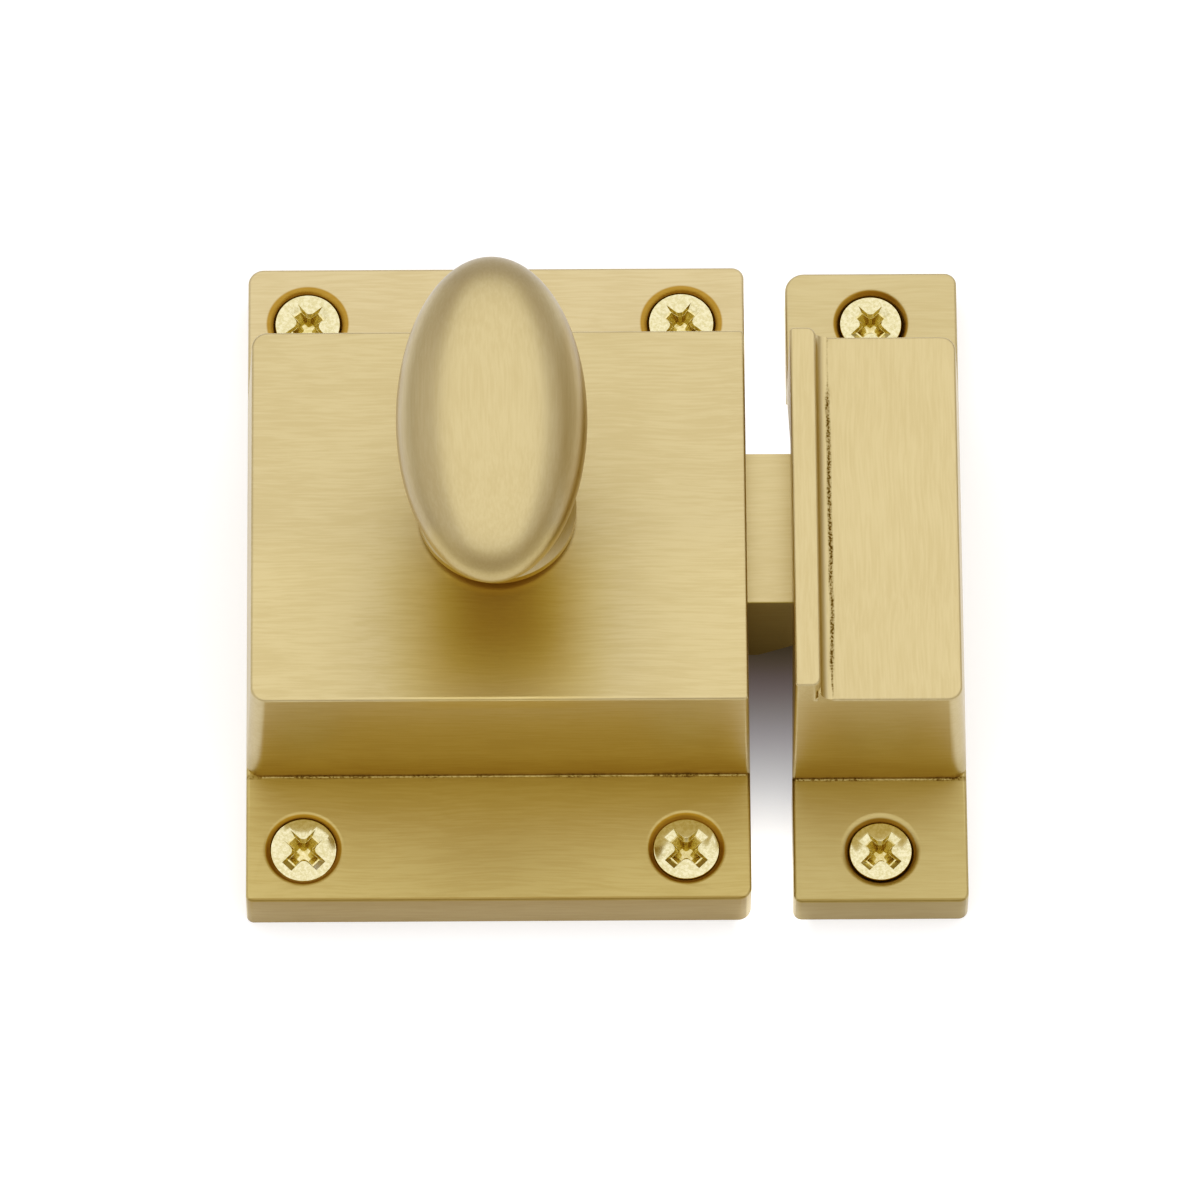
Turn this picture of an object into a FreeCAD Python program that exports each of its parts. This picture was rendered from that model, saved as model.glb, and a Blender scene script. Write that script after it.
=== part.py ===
import FreeCAD, Part
import math
import os

# Spring latch for a cabinet door: a case with a turn knob, and its keeper.
# Millimetres. The origin is on the mounting plane, on the knob's axis.
# +Z comes out of the door, +X points to the keeper, and +Y is up the door.

# Case: two screw flanges and a raised hollow box, cast in one piece
case_width = 41.3
case_length = 57.15
case_flange = 4.45
case_height = 17.6
case_face_length = 33.2
case_end_draft = 0.9
case_free_side_draft = 0.6
case_bolt_side_draft = 0.3
case_far_extra = 0.25
case_near_left_round = 0.6
case_near_right_round = 1.1
case_far_right_round = 1.0
case_far_left_round = 1.3
case_left_wall_round = 1.3
case_right_wall_round = 0.35
case_edge_round = 0.3
case_side_wall = 2.75
case_end_wall = 2.4
case_roof = 2.9
case_root_fillet = 0.15
case_cavity_round = 1.0

# Back plate, let into the case's back, and its small screws
plate_thickness = 2.0
plate_recess = 2.3
plate_ledge = 1.0
plate_clearance = 0.15
plate_screw_inset_x = 2.7
plate_screw_inset_y = 2.2
plate_screw_radius = 1.0
plate_screw_head_radius = 1.9
plate_screw_head_gap = 0.1
plate_screw_length = 6.0
plate_screw_slot_width = 0.5
plate_screw_slot_depth = 0.5
boss_length_x = 4.4
boss_length_y = 3.3
thread_clearance = 0.02

# Wood screws: countersunk heads with cross recesses
screw_head_radius = 2.7
screw_head_edge = 0.12
screw_cone_half_angle = 41.0
screw_body_radius = 1.45
screw_thread_radius = 1.35
screw_length = 15.9
screw_point_length = 2.8
screw_point_radius = 0.12
screw_hole_radius = 1.75
screw_sink = 0.27
screw_seat_gap = 0.05
countersink_edge_round = 0.6
case_screw_side_margin = 5.05
case_screw_end_margin = 4.725
# How far each case screw was drilled off its place: near left, far left, near right, far right
case_screw_drift = ((-0.35, -0.1), (-0.1, -0.1), (-0.25, -0.15), (-0.2, -0.15))
keeper_screw_end_margin = 4.575

# Cross recess of the wood screws
recess_depth = 1.7
recess_span = 3.87
recess_arm = 0.95
recess_inner_chamfer = 0.6
recess_floor_span = 1.3
recess_floor_arm = 0.5
recess_floor_chamfer = 0.22

# Knob: oval head on a round neck with a flared foot
knob_head_length = 28.6
knob_head_width = 15.4
knob_head_centre = 35.5
knob_head_offset = 0.35
knob_crown_height = 6.0
knob_belly_height = 4.6
knob_foot_radius = 6.5
knob_foot_thickness = 1.4
knob_foot_chamfer = 0.35
knob_waist_radius = 3.9
knob_waist_height = 7.6
knob_neck_top_radius = 5.2
knob_neck_sink = 2.4
knob_neck_fillet = 0.8
knob_face_gap = 0.2
knob_journal_radius = 3.6
bearing_clearance = 0.05

# Spindle, its clip and the thrust washer
spindle_square = 4.2
spindle_socket_depth = 9.0
spindle_socket_clearance = 0.03
spindle_tail_radius = 1.9
spindle_end_past_clip = 0.6
spindle_shoulder_gap = 0.2
clip_thickness = 0.6
clip_radius = 3.4
clip_gap = 0.2
clip_groove_radius = 1.5
clip_groove_play = 0.02
clip_mouth = 2.2
washer_thickness = 0.3
washer_radius = 4.8
washer_bore_clearance = 0.1
washer_gap = 0.1

# Lever on the spindle, and the pin in its end that pushes the bolt back
lever_reach = 7.0
lever_hub_radius = 3.9
lever_thickness = 2.2
lever_tip_radius = 1.9
lever_pin_radius = 1.4
lever_pin_fit = 0.01
lever_over_slide = 0.4
lever_under_washer = 1.2
lever_pin_end_gap = 0.5

# Bolt: a bevelled head, and a wide slide inside the case
bolt_width = 13.45
bolt_travel = 8.0
bolt_reach = 10.35
bolt_bevel_length = 9.6
bolt_bevel_bulge = 0.5
bolt_nose_flat = 2.2
bolt_nose_round = 0.4
bolt_clearance = 0.1
bolt_stop_gap = 0.15
slide_width = 20.8
slide_tail = 2.3
slide_head_overlap = 4.35
slide_corner_round = 0.8
slide_slot_round = 0.6
pin_slot_play = 0.35
pin_slot_end_gap = 0.3
hub_slot_play = 0.4

# Spring behind the bolt
spring_radius = 2.35
spring_wire = 0.5
spring_turns = 6
spring_steps_per_turn = 12
spring_wire_sides = 8
spring_peg_radius = 1.4
spring_peg_length = 2.3
spring_seat_gap = 0.05
spring_plate_gap = 0.5

# Keeper: two screw flanges, a hollow box and a raised lip
keeper_gap = 3.45
keeper_width = 14.3
keeper_flange = 3.7
keeper_below_case = 0.9
keeper_face_length = 32.7
keeper_end_draft = 1.3
keeper_side_draft = 0.65
keeper_near_left_round = 0.7
keeper_near_right_round = 0.8
keeper_far_right_round = 1.0
keeper_far_left_round = 1.6
keeper_left_wall_round = 0.3
keeper_right_wall_round = 1.2
keeper_edge_round = 0.3
keeper_bolt_wall = 2.3
keeper_far_wall = 2.0
keeper_end_wall = 2.5
keeper_roof = 1.95
keeper_root_fillet = 0.15
keeper_cavity_round = 1.0
lip_height = 2.4
lip_thickness = 2.1
lip_inner_round = 0.7
lip_edge_round = 0.28
lip_root_fillet = 1.0
mouth_foot_width = 36.4
mouth_flange_width = 34.8
mouth_top_margin = 1.8

# How far cutters run past the faces they open, and how far fillets are sunk into their walls
overshoot = 1.0
fillet_sink = 0.2

# Heights and places that follow from the sizes above
roof_under = case_height - case_roof
plate_top = plate_recess + plate_thickness
cavity_x = case_width / 2 - case_side_wall
cavity_y = case_face_length / 2 - case_end_wall
ledge_x = cavity_x + plate_ledge
ledge_y = cavity_y + plate_ledge
plate_screw_x = ledge_x - plate_clearance - plate_screw_inset_x
plate_screw_y = ledge_y - plate_clearance - plate_screw_inset_y
bolt_bottom = plate_top + bolt_clearance
bolt_top = roof_under - bolt_clearance
washer_bottom = roof_under - washer_gap - washer_thickness
hub_top = washer_bottom - washer_gap
hub_bottom = plate_top + spindle_shoulder_gap
lever_bottom = hub_top - lever_under_washer - lever_thickness
slide_top = lever_bottom - lever_over_slide
knob_foot_z = case_height + knob_face_gap
rest_turn = math.asin(bolt_travel / 2 / lever_reach)
pin_x = lever_reach * math.sin(rest_turn)
pin_y = -lever_reach * math.cos(rest_turn)
slide_front_x = cavity_x - bolt_stop_gap
hub_slot_x = -lever_hub_radius - hub_slot_play
slide_tail_x = hub_slot_x - slide_tail
bolt_nose_x = case_width / 2 + bolt_reach
spring_axis_z = plate_top + spring_plate_gap + spring_wire / 2 + spring_radius
keeper_x = case_width / 2 + keeper_gap
keeper_end_x = keeper_x + keeper_width
keeper_middle_x = keeper_x + keeper_width / 2
keeper_face_y = keeper_face_length / 2
keeper_foot_y = keeper_face_y + keeper_end_draft
keeper_height = case_height - keeper_below_case
keeper_roof_under = keeper_height - keeper_roof
keeper_end_slope = keeper_end_draft / (keeper_height - keeper_flange)


def vec(x, y, z):
    return FreeCAD.Vector(x, y, z)


def block(x0, x1, y0, y1, z0, z1):
    return Part.makeBox(x1 - x0, y1 - y0, z1 - z0, vec(x0, y0, z0))


def post(radius, z0, z1, x=0.0, y=0.0):
    return Part.makeCylinder(radius, z1 - z0, vec(x, y, z0))


def outline(start, *moves):
    """A closed wire. Each move is a point for a line, or (middle, end) for an arc."""
    edges = []
    here = start
    for move in moves:
        if isinstance(move, tuple):
            edges.append(Part.Arc(here, move[0], move[1]).toShape())
            here = move[1]
        else:
            edges.append(Part.LineSegment(here, move).toShape())
            here = move
    if here.distanceToPoint(start) > 1e-7:
        edges.append(Part.LineSegment(here, start).toShape())
    return Part.Wire(edges)


def turned(start, *moves):
    """A solid of revolution about Z from an outline in the XZ plane."""
    face = Part.Face(outline(start, *moves))
    return face.revolve(vec(0, 0, 0), vec(0, 0, 1), 360)


def rounded_rectangle(x0, x1, y0, y1, z, rounds):
    """A rectangle whose corners are rounded, counted from low x, low y, going round by high x."""
    a, b, c, d = rounds
    k = 1 - math.sqrt(0.5)
    return outline(
        vec(x0 + a, y0, z),
        vec(x1 - b, y0, z),
        (vec(x1 - b * k, y0 + b * k, z), vec(x1, y0 + b, z)),
        vec(x1, y1 - c, z),
        (vec(x1 - c * k, y1 - c * k, z), vec(x1 - c, y1, z)),
        vec(x0 + d, y1, z),
        (vec(x0 + d * k, y1 - d * k, z), vec(x0, y1 - d, z)),
        vec(x0, y0 + a, z),
        (vec(x0 + a * k, y0 + a * k, z), vec(x0 + a, y0, z)),
    )


def slab(x0, x1, y0, y1, z0, z1, rounds):
    face = Part.Face(rounded_rectangle(x0, x1, y0, y1, z0, rounds))
    return face.extrude(vec(0, 0, z1 - z0))


def edges_at_height(shape, z):
    return [e for e in shape.Edges if abs(e.BoundBox.ZMin - z) < 1e-5 and abs(e.BoundBox.ZMax - z) < 1e-5]


def round_top(shape, z, radius):
    return shape.makeFillet(radius, edges_at_height(shape, z))


def round_corners(shape, tall, radius, side, middle):
    """Rounds the upright corners that stand on one side of the middle."""
    corners = [e for e in shape.Edges if e.BoundBox.ZLength > tall and (e.BoundBox.XMin - middle) * side > 0]
    return shape.makeFillet(radius, corners)


def drafted_box(foot, face, z0, z1, left_round, right_round, edge_round):
    """A box that narrows from its foot to its face, each given as x0, x1, y0, y1, with soft edges."""
    across = outline(
        vec(foot[0], foot[2], z0),
        vec(foot[1], foot[2], z0),
        vec(face[1], foot[2], z1),
        vec(face[0], foot[2], z1),
    )
    along = outline(
        vec(foot[0], foot[2], z0),
        vec(foot[0], foot[3], z0),
        vec(foot[0], face[3], z1),
        vec(foot[0], face[2], z1),
    )
    box = Part.Face(across).extrude(vec(0, foot[3] - foot[2], 0))
    box = box.common(Part.Face(along).extrude(vec(foot[1] - foot[0], 0, 0)))
    middle = (foot[0] + foot[1]) / 2
    tall = (z1 - z0) / 2
    box = round_corners(box, tall, left_round, -1, middle)
    box = round_corners(box, tall, right_round, 1, middle)
    return round_top(box, z1, edge_round)


def plinth(box, z):
    """The outline of a box's underside, carried down to the mounting plane."""
    underside = [f for f in box.Faces if abs(f.BoundBox.ZMax - z) < 1e-5]
    return underside[0].extrude(vec(0, 0, -z))


def root_fillet(x0, x1, y, z, radius, slope, outward):
    """The hollow fillet along x where a box's sloping end wall meets its flange."""
    k = radius * (1 - math.sqrt(0.5))
    wall = y - slope * radius * outward
    inside = wall - fillet_sink * outward
    profile = outline(
        vec(x0, inside, z - fillet_sink),
        vec(x0, y + radius * outward, z - fillet_sink),
        vec(x0, y + radius * outward, z),
        (vec(x0, y + k * outward, z + k), vec(x0, wall, z + radius)),
        vec(x0, inside, z + radius),
    )
    return Part.Face(profile).extrude(vec(x1 - x0, 0, 0))


def countersink(x, y, top, hole_radius, rim_radius, edge_round):
    """The cutter for a countersunk screw hole, with its rim softened."""
    slope = math.radians(screw_cone_half_angle)
    fall = math.pi / 2 - slope
    tangent = edge_round * math.tan(fall / 2)
    rim = rim_radius + tangent
    centre_x = rim
    centre_z = top - edge_round
    middle = vec(centre_x - edge_round * math.sin(fall / 2), 0, centre_z + edge_round * math.cos(fall / 2))
    cone_start = vec(centre_x - edge_round * math.sin(fall), 0, centre_z + edge_round * math.cos(fall))
    cone_end_z = cone_start.z - (cone_start.x - hole_radius) / math.tan(slope)
    cutter = turned(
        vec(0, 0, top + overshoot),
        vec(rim, 0, top + overshoot),
        vec(rim, 0, top),
        (middle, cone_start),
        vec(hole_radius, 0, cone_end_z),
        vec(hole_radius, 0, -overshoot),
        vec(0, 0, -overshoot),
    )
    return cutter.translate(vec(x, y, 0))


def cross_outline(z, span, arm, inner_chamfer):
    """The outline of a cross recess: four arms whose inner corners are cut off."""
    half, side = span / 2, arm / 2
    near = side + inner_chamfer
    points = []
    for quarter in range(4):
        c, s = math.cos(math.pi / 2 * quarter), math.sin(math.pi / 2 * quarter)
        for u, v in [(half, -side), (half, side), (near, side), (side, near)]:
            points.append(vec(u * c - v * s, u * s + v * c, z))
    return outline(*points)


def cross_recess(top):
    """The cutter for a cross recess, with its arms turned 45 degrees."""
    mouth = cross_outline(top, recess_span, recess_arm, recess_inner_chamfer)
    floor = cross_outline(top - recess_depth, recess_floor_span, recess_floor_arm, recess_floor_chamfer)
    cutter = Part.makeLoft([mouth, floor], True, True)
    cutter.rotate(vec(0, 0, 0), vec(0, 0, 1), 45)
    return cutter


def wood_screw(x, y, surface):
    """A countersunk screw whose body tapers to the shank that stands out behind the mounting plane."""
    top = surface - screw_sink
    tip = top - screw_length
    cone_height = (screw_head_radius - screw_body_radius) / math.tan(math.radians(screw_cone_half_angle))
    body = turned(
        vec(0, 0, top),
        vec(screw_head_radius - screw_head_edge, 0, top),
        vec(screw_head_radius, 0, top - screw_head_edge),
        vec(screw_body_radius, 0, top - screw_head_edge - cone_height),
        vec(screw_thread_radius, 0, 0),
        vec(screw_thread_radius, 0, tip + screw_point_length),
        vec(screw_point_radius, 0, tip),
        vec(0, 0, tip),
    )
    return body.cut(cross_recess(top)).translate(vec(x, y, 0))


def pattern(spacing_x, spacing_y):
    """The four corners of a rectangle about the origin."""
    return [(i * spacing_x / 2, j * spacing_y / 2) for i in (-1, 1) for j in (-1, 1)]


def case_screw_places():
    places = pattern(case_width - 2 * case_screw_side_margin, case_length - 2 * case_screw_end_margin)
    return [(x + dx, y + dy) for (x, y), (dx, dy) in zip(places, case_screw_drift)]


def plate_screw_places():
    return pattern(2 * plate_screw_x, 2 * plate_screw_y)


def keeper_screw_places():
    y = case_length / 2 - keeper_screw_end_margin
    return [(keeper_middle_x, -y), (keeper_middle_x, y)]


def cut_screw_holes(shape, places, surface):
    """Countersunk holes whose rims stand above the sunk screw heads."""
    sunk_cone = (screw_sink + screw_head_edge) * math.tan(math.radians(screw_cone_half_angle))
    rim = screw_head_radius + screw_seat_gap + sunk_cone
    for x, y in places:
        shape = shape.cut(countersink(x, y, surface, screw_hole_radius, rim, countersink_edge_round))
    return shape


def case_form():
    """The outside of the case: a flanged base under a box with drafted walls."""
    half_x, half_y = case_width / 2, case_length / 2
    face_y = case_face_length / 2
    foot_y = face_y + case_end_draft
    foot = (-half_x, half_x, -foot_y, foot_y)
    face = (-half_x + case_free_side_draft, half_x - case_bolt_side_draft, -face_y, face_y)
    rounds = [case_near_left_round, case_near_right_round, case_far_right_round, case_far_left_round]
    base = slab(-half_x, half_x, -half_y, half_y + case_far_extra, 0, case_flange, rounds)
    base = round_top(base, case_flange, case_edge_round)
    box = drafted_box(
        foot, face, case_flange, case_height, case_left_wall_round, case_right_wall_round, case_edge_round,
    )
    form = base.fuse([plinth(box, case_flange), box])
    slope = case_end_draft / (case_height - case_flange)
    x0, x1 = -half_x + case_left_wall_round, half_x - case_right_wall_round
    for outward in (-1, 1):
        y = foot_y * outward
        form = form.fuse(root_fillet(x0, x1, y, case_flange, case_root_fillet, slope, outward))
    return form.removeSplitter()


def case_cavity():
    """The hollow for the works, left solid at four screw bosses, and the ledge for the back plate."""
    cavity = slab(-cavity_x, cavity_x, -cavity_y, cavity_y, -overshoot, roof_under, [case_cavity_round] * 4)
    for i, j in pattern(2, 2):
        x0, x1 = sorted((i * (cavity_x - boss_length_x), i * (cavity_x + overshoot)))
        y0, y1 = sorted((j * (cavity_y - boss_length_y), j * (cavity_y + overshoot)))
        cavity = cavity.cut(block(x0, x1, y0, y1, plate_top, roof_under + overshoot))
    recess = slab(-ledge_x, ledge_x, -ledge_y, ledge_y, -overshoot, plate_top, [case_cavity_round] * 4)
    return cavity.fuse(recess)


def latch_case():
    window_y = bolt_width / 2 + bolt_clearance
    window = block(
        cavity_x - overshoot, case_width / 2 + overshoot, -window_y, window_y,
        plate_top, bolt_top + bolt_clearance,
    )
    bearing = post(knob_journal_radius + bearing_clearance, roof_under - overshoot, case_height + overshoot)
    case = case_form().cut(case_cavity()).cut(window).cut(bearing)
    case = cut_screw_holes(case, case_screw_places(), case_flange)
    hole_end = plate_recess + plate_screw_length + overshoot
    for x, y in plate_screw_places():
        case = case.cut(post(plate_screw_radius + thread_clearance, plate_top - overshoot, hole_end, x, y))
    return case


def back_plate():
    half_x, half_y = ledge_x - plate_clearance, ledge_y - plate_clearance
    plate = slab(-half_x, half_x, -half_y, half_y, plate_recess, plate_top, [case_cavity_round] * 4)
    plate = plate.cut(post(spindle_tail_radius + bearing_clearance, 0, plate_top + overshoot))
    head = plate_screw_head_radius + plate_screw_head_gap
    radius = plate_screw_radius + plate_screw_head_gap
    for x, y in plate_screw_places():
        cone = Part.makeCone(head, radius, head - radius, vec(x, y, plate_recess))
        hole = post(radius, plate_recess - overshoot, plate_top + overshoot, x, y)
        plate = plate.cut(cone.fuse(hole))
    return plate


def plate_screw(x, y):
    """A small slotted screw with a countersunk head, driven from behind."""
    head_height = plate_screw_head_radius - plate_screw_radius
    body = turned(
        vec(0, 0, plate_recess),
        vec(plate_screw_head_radius, 0, plate_recess),
        vec(plate_screw_radius, 0, plate_recess + head_height),
        vec(plate_screw_radius, 0, plate_recess + plate_screw_length),
        vec(0, 0, plate_recess + plate_screw_length),
    )
    reach, half_slot = plate_screw_head_radius + overshoot, plate_screw_slot_width / 2
    slot = block(
        -reach, reach, -half_slot, half_slot, plate_recess - overshoot, plate_recess + plate_screw_slot_depth,
    )
    return body.cut(slot).translate(vec(x, y, 0))


def knob_head():
    """An oval button: a round one with elliptical crown and belly, narrowed across x.

    Its casting sits a little to one side of the neck.
    """
    reach = knob_head_length / 2
    crown = Part.Ellipse(vec(reach, 0, 0), vec(0, 0, knob_crown_height), vec(0, 0, 0))
    belly = Part.Ellipse(vec(reach, 0, 0), vec(0, 0, -knob_belly_height), vec(0, 0, 0))
    edges = [
        Part.ArcOfEllipse(crown, 0, math.pi / 2).toShape(),
        Part.LineSegment(vec(0, 0, knob_crown_height), vec(0, 0, -knob_belly_height)).toShape(),
        Part.ArcOfEllipse(belly, 0, math.pi / 2).toShape(),
    ]
    face = Part.Face(Part.Wire(Part.__sortEdges__(edges)))
    head = face.revolve(vec(0, 0, 0), vec(0, 0, 1), 360)
    narrow = FreeCAD.Matrix()
    narrow.scale(knob_head_width / knob_head_length, 1, 1)
    return head.transformGeometry(narrow).translate(vec(-knob_head_offset, 0, knob_head_centre))


def hollow_arc(foot, waist):
    """The middle of an arc from the foot that meets the waist upright."""
    dx, dz = foot.x - waist.x, waist.z - foot.z
    radius = (dx * dx + dz * dz) / (2 * dx)
    centre = vec(waist.x + radius, 0, waist.z)
    turn = math.asin(dz / radius) / 2
    return vec(centre.x - radius * math.cos(turn), 0, centre.z - radius * math.sin(turn))


def knob_neck():
    """The turned neck, from the journal in the case's face up into the head."""
    low, high = knob_foot_z, knob_foot_z + knob_foot_thickness
    edge = knob_foot_radius
    inner = edge - knob_foot_chamfer
    foot = vec(inner, 0, high)
    waist = vec(knob_waist_radius, 0, low + knob_waist_height)
    top = vec(knob_neck_top_radius, 0, knob_head_centre - knob_belly_height + knob_neck_sink)
    mirrored = hollow_arc(vec(top.x, 0, 2 * waist.z - top.z), waist)
    return turned(
        vec(0, 0, roof_under),
        vec(knob_journal_radius, 0, roof_under),
        vec(knob_journal_radius, 0, low),
        vec(inner, 0, low),
        vec(edge, 0, low + knob_foot_chamfer),
        vec(edge, 0, high - knob_foot_chamfer),
        foot,
        (hollow_arc(foot, waist), waist),
        (vec(mirrored.x, 0, 2 * waist.z - mirrored.z), top),
        vec(0, 0, top.z),
    )


def knob():
    """The head on its neck, blended where they meet, with the spindle's socket."""
    body = knob_head().fuse(knob_neck())
    belly_z = knob_head_centre - knob_belly_height
    meeting = [e for e in body.Edges if e.BoundBox.ZMin > belly_z and e.BoundBox.ZMax < knob_head_centre]
    body = body.makeFillet(knob_neck_fillet, meeting)
    half = spindle_square / 2 + spindle_socket_clearance
    socket = block(-half, half, -half, half, roof_under - overshoot, roof_under + spindle_socket_depth)
    return body.cut(socket)


def spindle():
    """A square bar with a round tail that is grooved for the clip."""
    half = spindle_square / 2
    clip_top = plate_recess - clip_gap
    tail_end = clip_top - clip_thickness - spindle_end_past_clip
    bar = block(-half, half, -half, half, hub_bottom, roof_under + spindle_socket_depth - bearing_clearance)
    bar = bar.fuse(post(spindle_tail_radius, tail_end, hub_bottom))
    ring = post(spindle_tail_radius + overshoot, clip_top - clip_thickness - clip_groove_play,
                clip_top + clip_groove_play)
    ring = ring.cut(post(clip_groove_radius, tail_end, hub_bottom))
    return bar.cut(ring)


def spindle_clip():
    """A ring clip with an open mouth, sprung into the groove."""
    top = plate_recess - clip_gap
    bore = clip_groove_radius + clip_groove_play
    ring = post(clip_radius, top - clip_thickness, top).cut(post(bore, 0, top + overshoot))
    half = clip_mouth / 2
    return ring.cut(block(-half, half, 0, clip_radius + overshoot, 0, top + overshoot))


def thrust_washer():
    bore = spindle_square / math.sqrt(2) + washer_bore_clearance
    ring = post(washer_radius, washer_bottom, washer_bottom + washer_thickness)
    return ring.cut(post(bore, washer_bottom - overshoot, roof_under))


def lever_blade():
    """The outline of two rounds joined by their tangents, along +X, as a plate."""
    hub, tip, reach = lever_hub_radius, lever_tip_radius, lever_reach
    lean = math.acos((hub - tip) / reach)
    c, s = math.cos(lean), math.sin(lean)
    z = lever_bottom
    blade = outline(
        vec(hub * c, hub * s, z),
        (vec(-hub, 0, z), vec(hub * c, -hub * s, z)),
        vec(reach + tip * c, -tip * s, z),
        (vec(reach + tip, 0, z), vec(reach + tip * c, tip * s, z)),
    )
    return Part.Face(blade).extrude(vec(0, 0, lever_thickness))


def cam_lever():
    """A hub with a square hole, and an arm with a hole for its pin, turned to where it rests."""
    body = post(lever_hub_radius, hub_bottom, hub_top).fuse(lever_blade())
    body.rotate(vec(0, 0, 0), vec(0, 0, 1), math.degrees(rest_turn) - 90)
    half = spindle_square / 2 + spindle_socket_clearance
    body = body.cut(block(-half, half, -half, half, hub_bottom - overshoot, hub_top + overshoot))
    return body.cut(post(lever_pin_radius + lever_pin_fit, slide_top, hub_top, pin_x, pin_y))


def cam_pin():
    low = bolt_bottom + lever_pin_end_gap
    return post(lever_pin_radius, low, lever_bottom + lever_thickness, pin_x, pin_y)


def bolt_head():
    """The bolt's head, bevelled on its back so that closing the door pushes it in."""
    start_x = slide_front_x - slide_head_overlap
    bevel = vec(bolt_nose_x - bolt_bevel_length, -bolt_width / 2, bolt_bottom)
    tip = vec(bolt_nose_x, -bolt_width / 2, bolt_top - bolt_nose_flat)
    run, rise = tip.x - bevel.x, tip.z - bevel.z
    chord = math.hypot(run, rise)
    middle = (bevel + tip) * 0.5 + vec(rise / chord, 0, -run / chord) * bolt_bevel_bulge
    side = outline(
        vec(start_x, bevel.y, bolt_bottom),
        bevel,
        (middle, tip),
        vec(bolt_nose_x, bevel.y, bolt_top),
        vec(start_x, bevel.y, bolt_top),
    )
    head = Part.Face(side).extrude(vec(0, bolt_width, 0))
    nose = [e for e in head.Edges if abs(e.BoundBox.XMin - bolt_nose_x) < 1e-5]
    return head.makeFillet(bolt_nose_round, nose)


def latch_bolt():
    """The head, and the slide with its slot for the lever's hub and pin."""
    half = slide_width / 2
    slide = slab(slide_tail_x, slide_front_x, -half, half, bolt_bottom, slide_top, [slide_corner_round] * 4)
    slot_end = bolt_travel - hub_slot_x
    hub_slot = slab(hub_slot_x, slot_end, hub_slot_x, -hub_slot_x, bolt_bottom - overshoot,
                    slide_top + overshoot, [slide_slot_round] * 4)
    pin_slot = slab(
        pin_x - lever_pin_radius - pin_slot_play, slot_end,
        -lever_reach - lever_pin_radius - pin_slot_end_gap, 0,
        bolt_bottom - overshoot, slide_top + overshoot, [slide_slot_round] * 4,
    )
    peg = Part.makeCylinder(
        spring_peg_radius, spring_peg_length, vec(slide_tail_x, 0, spring_axis_z), vec(-1, 0, 0),
    )
    slide = slide.cut(hub_slot.fuse(pin_slot)).fuse(peg)
    return slide.fuse(bolt_head()).removeSplitter()


def bolt_spring():
    """A coil between the slide's tail and the case's wall, made of short straight lengths of wire."""
    start = slide_tail_x - spring_seat_gap - spring_wire / 2
    end = -cavity_x + spring_seat_gap + spring_wire / 2
    steps = round(spring_turns * spring_steps_per_turn)
    path = []
    for step in range(steps + 1):
        turn = 2 * math.pi * step / spring_steps_per_turn
        x = start + (end - start) * step / steps
        path.append(vec(x, spring_radius * math.sin(turn), spring_axis_z + spring_radius * math.cos(turn)))
    section = []
    for side in range(spring_wire_sides):
        turn = 2 * math.pi * side / spring_wire_sides
        section.append(path[0] + vec(math.sin(turn), 0, math.cos(turn)) * (spring_wire / 2))
    mitred = 1
    return Part.makePolygon(path).makePipeShell([outline(*section)], True, True, mitred)


def keeper_form():
    """The outside of the keeper: a flanged base, a box, and the lip along its bolt side."""
    half_y = case_length / 2
    rounds = [keeper_near_left_round, keeper_near_right_round, keeper_far_right_round, keeper_far_left_round]
    base = slab(keeper_x, keeper_end_x, -half_y, half_y, 0, keeper_flange, rounds)
    base = round_top(base, keeper_flange, keeper_edge_round)
    foot = (keeper_x, keeper_end_x, -keeper_foot_y, keeper_foot_y)
    face = (keeper_x, keeper_end_x - keeper_side_draft, -keeper_face_y, keeper_face_y)
    box = drafted_box(
        foot, face, keeper_flange, keeper_height, keeper_left_wall_round, keeper_right_wall_round,
        keeper_edge_round,
    )
    form = base.fuse([plinth(box, keeper_flange), box, keeper_lip()])
    x0 = keeper_x + keeper_left_wall_round
    x1 = keeper_end_x - keeper_right_wall_round
    for outward in (-1, 1):
        y = keeper_foot_y * outward
        form = form.fuse(root_fillet(x0, x1, y, keeper_flange, keeper_root_fillet, keeper_end_slope, outward))
    return form.removeSplitter()


def keeper_lip():
    """The lip carries the box's bolt side and end drafts above its face, with a hollow root."""
    sink = 2 * keeper_edge_round
    low, high = keeper_height - sink, keeper_height + lip_height
    low_y = keeper_face_y + sink * keeper_end_slope
    high_y = keeper_face_y - lip_height * keeper_end_slope
    x1 = keeper_x + lip_thickness
    foot, top = (keeper_x, x1, -low_y, low_y), (keeper_x, x1, -high_y, high_y)
    lip = drafted_box(foot, top, low, high, keeper_left_wall_round, lip_inner_round, lip_edge_round)
    r = lip_root_fillet
    k = r * (1 - math.sqrt(0.5))
    inside = x1 - fillet_sink
    root = outline(
        vec(inside, -low_y, low),
        vec(x1 + r, -low_y, low),
        vec(x1 + r, -low_y, keeper_height),
        (vec(x1 + k, -low_y, keeper_height + k), vec(x1, -low_y, keeper_height + r)),
        vec(inside, -low_y, keeper_height + r),
    )
    ends = outline(
        vec(inside, -low_y, low),
        vec(inside, low_y, low),
        vec(inside, high_y, high),
        vec(inside, -high_y, high),
    )
    root = Part.Face(root).extrude(vec(0, 2 * low_y, 0))
    ends = Part.Face(ends).extrude(vec(fillet_sink + r, 0, 0))
    return lip.fuse(root.common(ends))


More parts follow.
